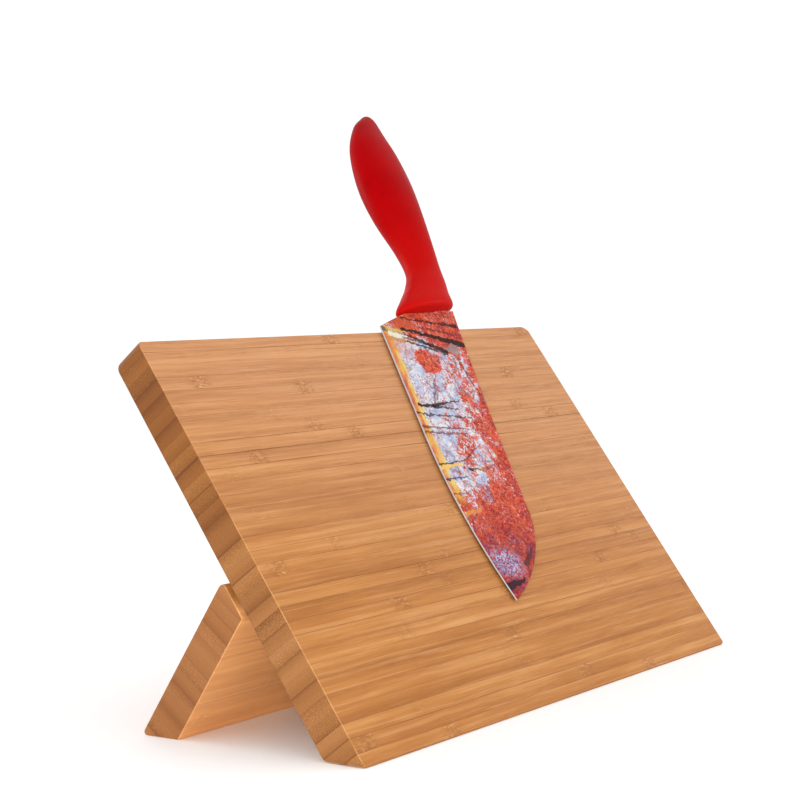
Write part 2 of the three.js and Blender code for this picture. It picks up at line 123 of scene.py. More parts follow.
class Graph:
    """A material's node tree, with short calls for its nodes. Most calls return an output socket."""

    def __init__(self, name):
        self.material = bpy.data.materials.new(name)
        self.material.use_nodes = True
        self.tree = self.material.node_tree
        self.shader = self.tree.nodes["Principled BSDF"]

    def node(self, kind, **settings):
        made = self.tree.nodes.new(kind)
        for key, value in settings.items():
            setattr(made, key, value)
        return made

    def feed(self, socket, value):
        if isinstance(value, bpy.types.NodeSocket):
            self.tree.links.new(value, socket)
        elif socket.type == "RGBA" and len(value) == 3:
            socket.default_value = (*value, 1)
        else:
            socket.default_value = value

    def feed_all(self, made, *values):
        """Feeds a node's inputs in their order."""
        for socket, value in zip(made.inputs, values):
            self.feed(socket, value)

    def math(self, operation, *values, clamp=False):
        made = self.node("ShaderNodeMath", operation=operation, use_clamp=clamp)
        self.feed_all(made, *values)
        return made.outputs[0]

    def add(self, a, b):
        return self.math("ADD", a, b)

    def sub(self, a, b):
        return self.math("SUBTRACT", a, b)

    def mul(self, a, b):
        return self.math("MULTIPLY", a, b)

    def centred(self, value, amount, middle=0.5):
        """A value's swing about its middle, times an amount."""
        return self.mul(self.sub(value, middle), amount)

    def vector(self, operation, *values):
        made = self.node("ShaderNodeVectorMath", operation=operation)
        self.feed_all(made, *values)
        return made.outputs[0]

    def object_mm(self):
        """The piece's own coordinates, in millimetres."""
        return self.vector("MULTIPLY", self.node("ShaderNodeTexCoord").outputs["Object"], (1000, 1000, 1000))

    def split(self, vector):
        made = self.node("ShaderNodeSeparateXYZ")
        self.feed(made.inputs[0], vector)
        return made.outputs

    def join(self, x, y, z):
        made = self.node("ShaderNodeCombineXYZ")
        self.feed_all(made, x, y, z)
        return made.outputs[0]

    def scaled(self, coordinates, factors):
        """A vector of three coordinates, each times a factor of its own."""
        return self.join(*(self.mul(value, factor) for value, factor in zip(coordinates, factors)))

    def texture(self, kind, vector, scale, **settings):
        made = self.node(kind, **settings)
        self.feed(made.inputs["Vector"], vector)
        made.inputs["Scale"].default_value = scale
        return made

    def noise(self, vector, scale=1.0, detail=2.0, roughness=0.5, distortion=0.0):
        made = self.texture("ShaderNodeTexNoise", vector, scale)
        made.inputs["Detail"].default_value = detail
        made.inputs["Roughness"].default_value = roughness
        made.inputs["Distortion"].default_value = distortion
        return made.outputs["Fac"]

    def shaken(self, vector, scale, detail, amounts):
        """A vector moved about by noise, by up to half the amounts along x, y and z."""
        made = self.texture("ShaderNodeTexNoise", vector, scale)
        made.inputs["Detail"].default_value = detail
        shake = self.vector("SUBTRACT", made.outputs["Color"], (0.5, 0.5, 0.5))
        return self.vector("ADD", vector, self.vector("MULTIPLY", shake, amounts))

    def voronoi(self, vector, scale, feature="F1"):
        return self.texture("ShaderNodeTexVoronoi", vector, scale, feature=feature).outputs["Distance"]

    def random(self, number, seed):
        """A number from 0 to 1 that depends only on a whole number and the seed."""
        made = self.node("ShaderNodeTexWhiteNoise", noise_dimensions="1D")
        self.feed(made.inputs["W"], self.add(self.mul(number, 1.37), seed))
        return made.outputs["Value"]

    def ramp(self, factor, *stops, smooth=True):
        """A colour ramp over (position, colour) stops."""
        made = self.node("ShaderNodeValToRGB")
        made.color_ramp.interpolation = "EASE" if smooth else "LINEAR"
        elements = made.color_ramp.elements
        while len(elements) < len(stops):
            elements.new(0.5)
        for element, (position, colour) in zip(elements, stops):
            element.position = position
            element.color = (*colour, 1)
        self.feed(made.inputs[0], factor)
        return made.outputs[0]

    def step(self, value, low, high, out_low=0.0, out_high=1.0):
        """A smooth step from out_low at low to out_high at high."""
        made = self.node("ShaderNodeMapRange", interpolation_type="SMOOTHSTEP")
        self.feed_all(made, value, low, high, out_low, out_high)
        return made.outputs[0]

    def mix(self, factor, a, b, blend="MIX"):
        made = self.node("ShaderNodeMix", data_type="RGBA", blend_type=blend)
        self.feed(made.inputs[0], factor)
        self.feed(made.inputs[6], a)
        self.feed(made.inputs[7], b)
        return made.outputs[2]

    def tint(self, colour, mask, strength, tone):
        """A tone laid over a colour where the mask is, at a strength."""
        return self.mix(self.mul(mask, strength), colour, tone)

    def bump(self, height, distance, strength):
        made = self.node("ShaderNodeBump")
        made.inputs["Strength"].default_value = strength
        made.inputs["Distance"].default_value = distance
        self.feed(made.inputs["Height"], height)
        return made.outputs[0]

    def finish(self, **inputs):
        for name, value in inputs.items():
            self.feed(self.shader.inputs[name.replace("_", " ")], value)
        return self.material


def srgb(red, green, blue):
    """An sRGB colour, 0 to 255, as the linear values that shaders take."""
    linear = []
    for value in (red, green, blue):
        share = value / 255
        linear.append(share / 12.92 if share <= 0.04045 else ((share + 0.055) / 1.055) ** 2.4)
    return tuple(linear)


# ---------------------------------------------------------------- bamboo

STRIP_PITCH = 6.8  # height of one strip
CULM_PITCH = 165.0  # between two nodes of the culm


class Bamboo:
    """Edge-grain bamboo: strips stacked along z with their fibres along x. It holds what the layers share."""

    def __init__(self, name, seed, strip_offset):
        g = self.g = Graph(name)
        x, y, z = g.split(g.object_mm())
        sag = g.noise(g.scaled((x, y, z), (0.006, 0.02, 0.01)))
        z = g.add(z, g.centred(sag, 1.6))
        place = self.x, self.y, self.z = x, y, z

        level = g.add(g.math("DIVIDE", z, STRIP_PITCH), strip_offset)
        self.strip = g.math("FLOOR", level)
        self.across = g.math("FRACT", level)
        self.tone_seed = g.random(self.strip, seed)
        node_seed = g.random(self.strip, seed + 11.3)
        flip = g.math("GREATER_THAN", g.random(self.strip, seed + 23.9), 0.5)
        self.glue_seed = g.random(self.strip, seed + 41.7)
        node_strength = g.random(self.strip, seed + 57.1)
        self.speckle_seed = g.random(self.strip, seed + 71.9)

        # Nodes of the culm: a soft mottled swelling in each strip, at a place of its own.
        along = g.math("FRACT", g.add(g.math("DIVIDE", x, CULM_PITCH), g.mul(node_seed, 7.0)))
        from_node = g.math("ABSOLUTE", g.centred(along, CULM_PITCH))
        self.ragged = g.noise(g.scaled(place, (0.32, 0.6, 0.85)), detail=4.0, roughness=0.7, distortion=0.8)
        self.near_node = g.mul(g.step(from_node, 9.5, 1.5), g.step(node_strength, 0.1, 0.8, 0.25, 1.0))
        self.mottle = g.mul(self.near_node, g.step(self.ragged, 0.56, 0.42))

        # Fibres, bent a little where a node lies.
        bend = g.mul(self.near_node, g.centred(self.ragged, 3.2))
        drift = g.noise(g.scaled(place, (0.012, 0.05, 0.06)))
        fibre_z = g.add(g.add(g.add(z, bend), g.mul(self.strip, 3.7)), g.mul(drift, 2.0))
        fibres = (x, y, fibre_z)
        self.fine = g.noise(g.scaled(fibres, (0.05, 2.4, 2.4)), detail=4.0, roughness=0.66)
        self.broad = g.noise(g.scaled(fibres, (0.009, 0.48, 0.48)))
        self.dashes = g.noise(g.scaled(fibres, (0.13, 3.6, 3.6)))
        self.threads = g.step(self.fine, 0.55, 0.38)
        bundles = g.voronoi(g.scaled(fibres, (0.012, 1.5, 1.5)), 1.0)
        self.dots = g.step(bundles, 0.42, 0.12)

        # Each strip is denser, and so darker, towards the culm's skin on one of its sides.
        self.skin_side = g.math("ABSOLUTE", g.sub(self.across, flip))
        self.dense = g.step(self.skin_side, 0.0, 0.8)

    def long_grain(self):
        """The colour of a face along the fibres."""
        g = self.g
        cloud_z = g.add(g.mul(self.z, 0.05), g.mul(self.strip, 5.1))
        cloudy = g.noise(g.join(g.mul(self.x, 0.014), g.mul(self.y, 0.06), cloud_z))
        tone = g.add(g.mul(self.tone_seed, 0.55), g.centred(cloudy, 1.1, 0.46))
        tone = g.add(tone, g.centred(self.dense, 0.3))
        colour = g.ramp(
            tone,
            (0.0, srgb(148, 92, 40)),
            (0.4, srgb(163, 106, 51)),
            (0.7, srgb(173, 117, 60)),
            (1.0, srgb(184, 131, 76)),
        )
        # Paler towards the top and the right: a painted sheen.
        painted_sheen = g.step(g.add(self.z, g.mul(self.x, 0.22)), 25.0, 205.0)
        colour = g.tint(colour, painted_sheen, 0.7, srgb(184, 135, 98))
        streaks = g.step(self.broad, 0.56, 0.36)
        colour = g.tint(colour, streaks, 0.28, srgb(146, 90, 44))
        washed = g.step(self.broad, 0.5, 0.68)
        colour = g.tint(colour, washed, 0.32, srgb(193, 145, 98))
        open_grain = g.sub(1.0, self.dense)
        colour = g.tint(colour, self.threads, g.add(0.14, g.mul(open_grain, 0.2)), srgb(126, 72, 30))
        flecks = g.step(self.dashes, 0.42, 0.3)
        colour = g.tint(colour, flecks, g.add(0.14, g.mul(open_grain, 0.18)), srgb(108, 58, 22))
        pale = g.step(self.fine, 0.56, 0.7)
        colour = g.tint(colour, pale, 0.3, srgb(196, 150, 104))
        colour = g.tint(colour, self.mottle, 0.6, srgb(130, 78, 34))
        glint = g.mul(self.near_node, g.step(self.ragged, 0.56, 0.68))
        return g.tint(colour, glint, 0.6, srgb(200, 156, 110))

    def glue_lines(self):
        """The lines between the strips, and how strongly each shows: some are hardly seen."""
        g = self.g
        to_line = g.mul(g.sub(0.5, g.math("ABSOLUTE", g.sub(self.across, 0.5))), STRIP_PITCH)
        wander = g.noise(g.join(g.mul(self.x, 0.02), self.y, g.mul(self.z, 0.2)))
        line = g.step(g.add(to_line, g.centred(wander, 0.4)), 0.32, 0.08)
        fade = g.noise(g.join(g.mul(self.x, 0.012), self.y, g.mul(self.strip, 3.3)))
        strength = g.mul(g.step(self.glue_seed, 0.3, 0.98, 0.08, 0.9), g.step(fade, 0.3, 0.62, 0.25, 1.0))
        return line, strength

    def end_grain(self):
        """The colour of an end, which soaks up more oil: darker, and speckled with the fibre bundles. Painted
        shade darkens it towards the top, and painted light lifts it towards the bottom.
        """
        g = self.g
        tone = g.ramp(
            g.add(g.centred(self.tone_seed, 0.62), g.add(0.5, g.centred(self.dense, 0.34))),
            (0.0, srgb(110, 63, 24)),
            (0.5, srgb(130, 81, 37)),
            (1.0, srgb(144, 94, 48)),
        )
        pores = g.noise(g.scaled((self.x, self.y, self.z), (0.4, 1.3, 1.3)), detail=4.0, roughness=0.7)
        colour = g.tint(tone, g.step(pores, 0.52, 0.34), 0.3, srgb(98, 54, 18))
        speckle = g.step(self.speckle_seed, 0.45, 0.9, 0.12, 0.6)
        colour = g.tint(colour, self.dots, speckle, srgb(172, 124, 76))
        skin_edge = g.step(self.skin_side, 0.16, 0.02)
        colour = g.tint(colour, skin_edge, g.step(self.glue_seed, 0.2, 0.9, 0.15, 0.6), srgb(88, 44, 14))
        # Painted shade towards the top of the ends, painted light towards the bottom.
        painted_shade = g.step(self.z, 60.0, 205.0, 1.12, 0.76)
        tone_shift = g.join(painted_shade, g.math("POWER", painted_shade, 1.5), g.math("POWER", painted_shade, 3.0))
        return g.mix(1.0, colour, tone_shift, "MULTIPLY")

    def facing_end(self):
        """How squarely a face looks along the fibres."""
        g = self.g
        turned = g.node("ShaderNodeVectorTransform", vector_type="NORMAL")
        turned.convert_from = "WORLD"
        turned.convert_to = "OBJECT"
        g.feed(turned.inputs[0], g.node("ShaderNodeNewGeometry").outputs["Normal"])
        return g.math("ABSOLUTE", g.split(turned.outputs[0])[0])

    def worn_and_highlit_edge(self, facing):
        """Where the edges round the ends are worn pale and carry a painted highlight, in patches, most of all
        near the foot.
        """
        g = self.g
        edge = g.mul(g.step(facing, 0.25, 0.45), g.step(facing, 0.92, 0.7))
        patchy = g.noise(g.join(0.0, g.mul(self.y, 0.3), g.mul(self.z, 0.12)), detail=3.0)
        low_down = g.step(self.z, 180.0, 70.0, 0.2, 1.0)
        return g.mul(edge, g.mul(g.step(patchy, 0.35, 0.6, 0.1, 0.5), low_down))


def bamboo(name, seed, strip_offset=0.0, painted_light_inside=False):
    """Oiled bamboo for one board. The face at low y may be lifted and paled by painted light, and the ends
    made a little lighter by it too.
    """
    wood = Bamboo(name, seed, strip_offset)
    g = wood.g
    line, line_strength = wood.glue_lines()
    colour = g.tint(wood.long_grain(), line, line_strength, srgb(100, 54, 18))
    end_colour = wood.end_grain()
    if painted_light_inside:
        # Painted light: the inner face lifted and paled, the ends lightened a little.
        painted_light_mask = g.step(wood.y, 12.0, 4.0)
        light_lift = g.step(wood.y, 12.0, 4.0, 1.0, 1.7)
        colour = g.mix(1.0, colour, g.join(light_lift, light_lift, light_lift), "MULTIPLY")
        colour = g.tint(colour, painted_light_mask, 0.4, srgb(244, 184, 128))
        end_colour = g.mix(0.25, end_colour, srgb(150, 95, 58))
    facing = wood.facing_end()
    end = g.step(facing, 0.5, 0.9)
    colour = g.mix(end, colour, end_colour)
    # Pale edges round the ends: wear and a painted highlight.
    colour = g.mix(wood.worn_and_highlit_edge(facing), colour, srgb(206, 158, 108))

    smear = g.noise(g.scaled((wood.x, wood.y, wood.z), (0.03, 0.03, 0.03)), detail=3.0)
    roughness = g.add(g.step(smear, 0.3, 0.7, 0.44, 0.58), g.mul(wood.threads, 0.1))
    hollows = g.add(g.mul(line, 0.5), g.mul(g.mul(wood.dots, end), 0.35))
    height = g.sub(g.sub(g.mul(wood.fine, 0.5), hollows), g.mul(wood.mottle, 0.25))
    return g.finish(
        Base_Color=colour,
        Roughness=roughness,
        Normal=g.bump(height, 0.00012, 0.6),
        Specular_IOR_Level=0.16,
    )


# ---------------------------------------------------------------- metal and plastic

def brushed_metal(name, light, dark, roughness):
    """Bare metal with fine lines along x and a slight tarnish."""
    g = Graph(name)
    place = g.object_mm()
    lines = g.noise(g.vector("MULTIPLY", place, (0.15, 6.0, 6.0)), 1.0, 3.0, 0.6)
    tone_shift = g.noise(place, 0.12, 4.0, 0.6)
    colour = g.mix(g.step(tone_shift, 0.35, 0.7), light, dark)
    colour = g.tint(colour, g.step(lines, 0.4, 0.7), 0.3, dark)
    rough = g.add(g.step(tone_shift, 0.3, 0.7, roughness - 0.06, roughness + 0.1), g.mul(lines, 0.1))
    return g.finish(Base_Color=colour, Roughness=rough, Metallic=1.0, Normal=g.bump(lines, 0.00002, 0.5))


def moulded_red(name):
    """Satin moulded plastic with a fine spark-eroded grain, and painted light towards the collar."""
    g = Graph(name)
    place = g.object_mm()
    grain = g.noise(place, 5.0, 2.0, 0.6)
    rubbed = g.noise(place, 0.05, 3.0)
    colour = g.mix(g.step(rubbed, 0.3, 0.7), srgb(142, 0, 3), srgb(151, 0, 4))
    # Lighter red towards the collar: painted light.
    painted_light_low = g.step(g.split(place)[2], 85.0, 0.0)
    colour = g.mix(painted_light_low, colour, srgb(168, 12, 8))
    roughness = g.add(g.step(rubbed, 0.3, 0.7, 0.3, 0.4), g.mul(grain, 0.06))
    return g.finish(
        Base_Color=colour,
        Roughness=roughness,
        Normal=g.bump(grain, 0.00004, 0.35),
        Specular_IOR_Level=0.02,
    )


def floor_paper():
    g = Graph("floor_paper")
    return g.finish(Base_Color=(0.95, 0.95, 0.95), Roughness=0.85)


# ---------------------------------------------------------------- the blade's print

PRINT_DEPTH = 0.62  # the print's tones against those of the wood, in the same light
BARK = srgb(30, 12, 15)
TWIG = srgb(126, 40, 40)
GLOW = srgb(250, 200, 104)
# Branches, twigs and gleams: start x and z, end x and z, half width, strength and colour.
STROKES = [
    (-47, -22.5, -40, -23, 1.6, 0.8, srgb(62, 84, 76)),
    (-43, -22.5, -28, -21.6, 1.2, 0.7, srgb(214, 196, 50)),
    (-41, -25.4, -30, -25.2, 2.0, 0.9, srgb(240, 238, 214)),
    (-44, -28.4, -24, -28.2, 1.3, 0.75, srgb(206, 140, 60)),
    (5, -27, -1, -28.5, 3.4, 0.75, srgb(150, 142, 142)),
    (-49, -109, -27, -104, 1.2, 0.9, GLOW),
    (-20, -106, -12, -105.5, 0.7, 0.8, GLOW),
    (-43, -135.5, -29, -131, 1.8, 0.7, srgb(240, 158, 70)),
    (16, -22.5, -31, -20, 1.9, 0.95, BARK),
    (-3, -29.5, -30, -23.6, 1.4, 0.9, BARK),
    (-3, -31, -31, -28.6, 1.3, 0.85, BARK),
    (-14, -27.6, -32, -26, 0.7, 0.8, BARK),
    (15, -10, -33, -12.5, 0.8, 0.85, BARK),
    (14, -16.6, -16, -16, 0.8, 0.8, TWIG),
    (12, -4, -10, -4.5, 0.6, 0.7, TWIG),
    (4, -34, 10, -56, 0.9, 0.75, TWIG),
    (1, -33, 1, -46, 0.6, 0.6, TWIG),
    (-42, -70.2, -27, -69, 1.1, 0.95, BARK),
    (-32, -69, -10, -63, 0.9, 0.92, BARK),
    (-32, -69.8, -14, -68.6, 0.8, 0.85, BARK),
    (-30, -68, -20, -48, 0.6, 0.75, TWIG),
    (-26, -64, -22, -54, 0.5, 0.7, TWIG),
    (-48, -74.6, -38, -76.2, 0.5, 0.85, BARK),
    (-40, -75.6, -5, -73, 0.6, 0.8, BARK),
    (-48, -84, -12, -81, 0.8, 0.8, TWIG),
    (-48, -87.4, -14, -84.5, 0.8, 0.8, TWIG),
    (-48, -107.4, -26, -102, 0.7, 0.9, BARK),
    (-26, -102, -8, -90, 0.5, 0.75, TWIG),
    (-24, -106.8, -15, -106, 0.8, 0.9, BARK),
    (-14, -106, 9, -97, 0.6, 0.6, TWIG),
    (-46, -115.5, -27, -111.5, 0.7, 0.9, srgb(58, 48, 92)),
    (-46, -124, -30, -121, 0.5, 0.75, TWIG),
    (-34, -174.6, -18, -170.5, 2.2, 0.92, srgb(42, 30, 44)),
    (-12, -161, -2, -151, 1.6, 0.7, srgb(60, 44, 46)),
]


class Print:
    """A generic autumn wood: pale sky, red leaves and dark branches. It holds what the layers share."""

    def __init__(self, name):
        g = self.g = Graph(name)
        self.place = g.object_mm()
        self.ragged = g.shaken(self.place, 0.4, 4.0, (4.5, 0.0, 4.5))
        self.x, self.y, self.z = g.split(self.place)
        self.ragged_x, _, self.ragged_z = g.split(self.ragged)
        self.grain = g.noise(self.place, 0.95, 3.0, 0.65)
        self.tuft = g.noise(self.place, 0.75, 4.0, 0.7)

        # How far a point lies in from the cutting edge, across the blade.
        swept = g.math("MAXIMUM", g.mul(g.sub(RISE_START, self.z), 1 / RISE_LENGTH), 0.0)
        edge = g.add(EDGE_OFFSET, g.mul(g.mul(swept, swept), RISE_HEIGHT))
        self.from_edge = g.sub(self.x, edge)

    def from_middle(self, centre_x, centre_z, squash):
        """How far a point is from the middle of a patch, squeezed across."""
        g = self.g
        across = g.math("POWER", g.centred(self.ragged_x, squash, centre_x), 2.0)
        return g.math("SQRT", g.add(across, g.math("POWER", g.sub(self.ragged_z, centre_z), 2.0)))

    def sky(self):
        """White and blue in patches, dusted with blossom."""
        g = self.g
        haze = g.noise(self.place, 0.13, 4.0, 0.6)
        sky = g.mix(g.step(haze, 0.36, 0.62), srgb(186, 208, 238), srgb(240, 244, 248))
        dusted = g.step(g.noise(self.place, 0.16, 3.0), 0.4, 0.62)
        blossom = g.step(self.grain, 0.52, 0.42)
        return g.tint(sky, blossom, g.add(0.2, g.mul(dusted, 0.65)), srgb(204, 112, 130))

    def leaves(self):
        """Coral tufts with darker hollows and pale flowers, in deeper shade towards the tip."""
        g = self.g
        drift = g.noise(self.place, 0.09, 3.0)
        leaf = g.ramp(
            g.add(self.tuft, g.centred(drift, 0.35)),
            (0.3, srgb(120, 30, 32)),
            (0.42, srgb(196, 58, 44)),
            (0.52, srgb(230, 94, 62)),
            (0.64, srgb(240, 126, 88)),
            (0.76, srgb(242, 178, 160)),
            smooth=False,
        )
        flowers = g.step(g.voronoi(self.ragged, 0.55), 0.4, 0.16)
        airy = g.step(g.noise(self.place, 0.11, 3.0), 0.42, 0.6)
        leaf = g.tint(leaf, flowers, g.mul(airy, 0.85), srgb(226, 190, 212))
        tips = g.voronoi(g.vector("ADD", self.ragged, (31.0, 0.0, 17.0)), 0.42)
        leaf = g.tint(leaf, g.step(tips, 0.36, 0.16), 0.6, srgb(104, 24, 28))
        return g.tint(leaf, g.step(self.z, -120.0, -160.0), 0.45, srgb(140, 28, 30))

    def leaf_cover(self):
        """Where the leaves hide the sky: towards the spine, the collar and the tip."""
        g = self.g
        clumps = g.noise(self.place, 0.07, 5.0, 0.65)
        sprays = g.noise(self.place, 0.24, 4.0, 0.7)
        shore = g.add(
            g.step(self.z, -34.0, -12.0, 0.0, 52.0),
            g.add(g.step(self.z, -50.0, -112.0, 0.0, 14.0), g.step(self.z, -112.0, -138.0, 0.0, 48.0)),
        )
        cover = g.math("DIVIDE", g.add(g.add(self.x, 5.0), shore), 18.0)
        cover = g.add(cover, g.centred(clumps, 7.0))
        cover = g.add(cover, g.centred(sprays, 5.0))
        cover = g.add(cover, g.step(self.from_middle(-21.0, -39.0, 0.8), 10.0, 5.0, 0.0, 2.8))
        return g.step(g.add(cover, g.centred(self.tuft, 6.0)), -0.1, 0.4)

    def twigs(self):
        """A web of fine twigs."""
        g = self.g
        bent = g.shaken(self.place, 0.16, 3.0, (14.0, 0.0, 14.0))
        web = g.voronoi(g.vector("MULTIPLY", bent, (0.12, 0.0, 0.08)), 1.0, "DISTANCE_TO_EDGE")
        fine_web = g.voronoi(g.vector("MULTIPLY", bent, (0.28, 0.0, 0.18)), 1.0, "DISTANCE_TO_EDGE")
        return g.math("MAXIMUM", g.step(web, 0.05, 0.015), g.mul(g.step(fine_web, 0.07, 0.02), 0.55))

    def tip_light(self, picture):
        """Light through the leaves near the tip, and dusk below it."""
        g = self.g
        gleam = g.mul(g.step(self.from_middle(-26.0, -161.0, 0.7), 11.0, 3.0), g.step(self.grain, 0.44, 0.56))
        picture = g.tint(picture, gleam, 0.9, srgb(186, 204, 250))
        dusk = g.mul(g.step(self.z, -130.0, -158.0), g.step(g.noise(self.place, 0.32, 3.0), 0.5, 0.6))
        return g.tint(picture, dusk, 0.42, srgb(84, 62, 112))

    def sunset(self, picture):
        """Evening sun along the cutting edge and under the heel."""
        g = self.g
        wave = g.noise(g.join(0.0, 0.0, g.mul(self.z, 0.12)), detail=3.0)
        width = g.add(5.6, g.centred(wave, 9.0))
        warmth = g.noise(g.join(g.mul(self.x, 0.3), 0.0, g.mul(self.z, 0.1)), detail=4.0, roughness=0.6)
        sun = g.ramp(
            g.add(g.mul(self.from_edge, 0.075), g.add(0.16, g.centred(warmth, 1.5))),
            (0.0, srgb(196, 84, 44)),
            (0.22, srgb(222, 122, 66)),
            (0.42, srgb(238, 176, 72)),
            (0.62, srgb(242, 208, 98)),
            (0.85, srgb(236, 222, 184)),
        )
        fringe = g.sub(g.add(self.from_edge, g.centred(self.tuft, 5.0)), width)
        stretch = g.mul(g.step(self.z, -132.0, -122.0), g.step(self.z, -19.0, -22.0))
        picture = g.tint(picture, g.mul(g.step(fringe, 1.4, -0.8), stretch), 0.92, sun)
        neck = g.step(self.from_middle(-34.0, -14.0, 0.6), 12.0, 5.0)
        picture = g.tint(picture, g.mul(neck, g.step(self.tuft, 0.3, 0.6, 0.4, 1.0)), 0.75, srgb(206, 92, 50))
        heel = g.step(self.from_middle(-40.0, -30.0, 0.9), 15.0, 5.0)
        return g.tint(picture, g.mul(heel, g.step(self.tuft, 0.35, 0.6)), 0.6, srgb(226, 128, 62))

    def stroke(self, from_x, from_z, to_x, to_z, half_width):
        """The mask of a ragged stroke that thins towards its end."""
        g = self.g
        run, rise = to_x - from_x, to_z - from_z
        length = run * run + rise * rise
        out_x = g.sub(self.ragged_x, from_x)
        out_z = g.sub(self.ragged_z, from_z)
        share = g.math("ADD", g.mul(out_x, run / length), g.mul(out_z, rise / length), clamp=True)
        off_x = g.sub(out_x, g.mul(share, run))
        off_z = g.sub(out_z, g.mul(share, rise))
        off = g.math("SQRT", g.add(g.mul(off_x, off_x), g.mul(off_z, off_z)))
        half = g.sub(half_width, g.mul(share, half_width * 0.6))
        return g.step(g.sub(off, half), 0.35, -0.2)


def printed_blade(name):
    """The printed coating, with a bare ground edge."""
    layers = Print(name)
    g = layers.g
    picture = g.mix(layers.leaf_cover(), layers.sky(), layers.leaves())
    picture = g.tint(picture, layers.twigs(), 0.55, srgb(132, 40, 50))
    picture = layers.sunset(layers.tip_light(picture))
    for *course, strength, colour in STROKES:
        picture = g.tint(picture, layers.stroke(*course), strength, colour)
    picture = g.mix(1.0, picture, (PRINT_DEPTH, PRINT_DEPTH, PRINT_DEPTH), "MULTIPLY")

    # The ground edge shows bare steel, with fine lines across it.
    bare = g.mul(g.step(layers.from_edge, 0.75, 0.5), g.step(layers.z, -20.6, -21.4))
    lines = g.noise(g.scaled((layers.x, layers.y, layers.z), (1.2, 1.2, 7.0)))
    colour = g.mix(bare, picture, g.mix(lines, srgb(206, 204, 204), srgb(166, 164, 166)))
    scuffs = g.noise(layers.place, 0.25, 4.0, 0.6)
    height = g.add(g.mul(lines, g.mul(bare, 0.6)), g.mul(layers.grain, 0.15))
    return g.finish(
        Base_Color=colour,
        Metallic=g.mul(bare, 0.95),
        Roughness=g.add(g.step(scuffs, 0.35, 0.7, 0.3, 0.44), g.mul(bare, 0.06)),
        Normal=g.bump(height, 0.00003, 0.4),
        Specular_IOR_Level=0.07,
    )


# ---------------------------------------------------------------- shapes

def rounded(corners, steps=6):
    """A closed outline through corners (u, v, radius), each rounded by an arc of the same number of steps."""
    points = []
    for i, (u, v, radius) in enumerate(corners):
        corner = Vector((u, v))
        back = (Vector(corners[i - 1][:2]) - corner).normalized()
        on = (Vector(corners[(i + 1) % len(corners)][:2]) - corner).normalized()
        half = back.angle(on) / 2
        start = corner + back * (radius / math.tan(half))
        centre = corner + (back + on).normalized() * (radius / math.sin(half))
        turn = math.pi - 2 * half
        sign = 1 if on.x * back.y - on.y * back.x > 0 else -1
        for k in range(steps + 1):
            points.append(centre + Matrix.Rotation(sign * turn * k / steps, 2) @ (start - centre))
    return points


def inset(polygon, distance):
    """A convex polygon, drawn anticlockwise, with every side moved in by the distance."""
    lines = []
    for i, point in enumerate(polygon):
        a, b = Vector(point), Vector(polygon[(i + 1) % len(polygon)])
        inward = Vector((a.y - b.y, b.x - a.x)).normalized()
        lines.append((a + inward * distance, b - a))
    moved = []
    for i, (point, direction) in enumerate(lines):
        other, other_direction = lines[i - 1]
        cross = direction.x * other_direction.y - direction.y * other_direction.x
        gap = other - point
        share = (gap.x * other_direction.y - gap.y * other_direction.x) / cross
        moved.append(point + direction * share)
    return moved


def skin(rings):
    """A closed mesh in metres over rings of the same number of points, given in millimetres."""
    mesh = bmesh.new()
    loops = [[mesh.verts.new(Vector(point) * MM) for point in ring] for ring in rings]
    for one, two in zip(loops, loops[1:]):
        for i in range(len(one)):
            j = (i + 1) % len(one)
            mesh.faces.new((one[i], one[j], two[j], two[i]))
    mesh.faces.new(list(reversed(loops[0])))
    mesh.faces.new(loops[-1])
    bmesh.ops.recalc_face_normals(mesh, faces=mesh.faces)
    return mesh


def placed_object(name, mesh):
    """An object of a mesh, in the scene. The mesh is used up."""
    data = bpy.data.meshes.new(name)
    mesh.to_mesh(data)
    mesh.free()
    made = bpy.data.objects.new(name, data)
    bpy.context.scene.collection.objects.link(made)
    return made


def piece(name, mesh, material, place, body, slot, *nodes, sharp=SHARP_ANGLE):
    """A finished piece: a mesh in its place, riding on a body and standing for CAD nodes."""
    made = placed_object(name, mesh)
    made.data.materials.append(material)
    made.data.shade_smooth()
    made.data.set_sharp_from_angle(angle=math.radians(sharp))
    made.matrix_world = place
    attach(made, body)
    if nodes:
        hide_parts(*nodes)
    return made


def weighted_normals(made):
    """Keeps large flat faces flat where they meet rounded edges."""
    modifier = made.modifiers.new("flat_faces", "WEIGHTED_NORMAL")
    modifier.keep_sharp = True
    modifier.weight = 100


def quarter(distance, radius):
    """How far a quarter round of the radius has cut in, at a distance from the end."""
    if distance >= radius:
        return 0.0
    return radius - math.sqrt(radius * radius - (radius - distance) ** 2)


def end_distances(radius, steps):
    """Distances from an end face that follow a quarter round evenly."""
    return [radius * (1 - math.cos(math.pi / 2 * k / steps)) for k in range(steps + 1)]


def plank(section_at):
    """A board across x, whose section of (y, z, radius) corners depends on x."""
    near = set(end_distances(EASE, EASE_STEPS))
    for radius in TOP_CORNERS + BOTTOM_CORNERS:
        near.update(end_distances(radius, CORNER_STEPS))
    near = sorted(near)
    places = [-WIDTH / 2 + d for d in near] + [WIDTH / 2 - d for d in reversed(near)]
    return skin([[(x, point.x, point.y) for point in rounded(section_at(x))] for x in places])


def slot_mesh(length, width, height, front, back, steps=16):
    """A bar with half-round ends between two depths of the upright frame."""
    radius = width / 2
    outline = []
    for side in (1, -1):
        middle = side * (length / 2 - radius)
        for k in range(steps + 1):
            angle = math.pi * (k / steps - 0.5) + (math.pi if side < 0 else 0)
            outline.append((middle + radius * math.cos(angle), height + radius * math.sin(angle)))
    return skin([[(x, y, z) for x, z in outline] for y in (front, back)])


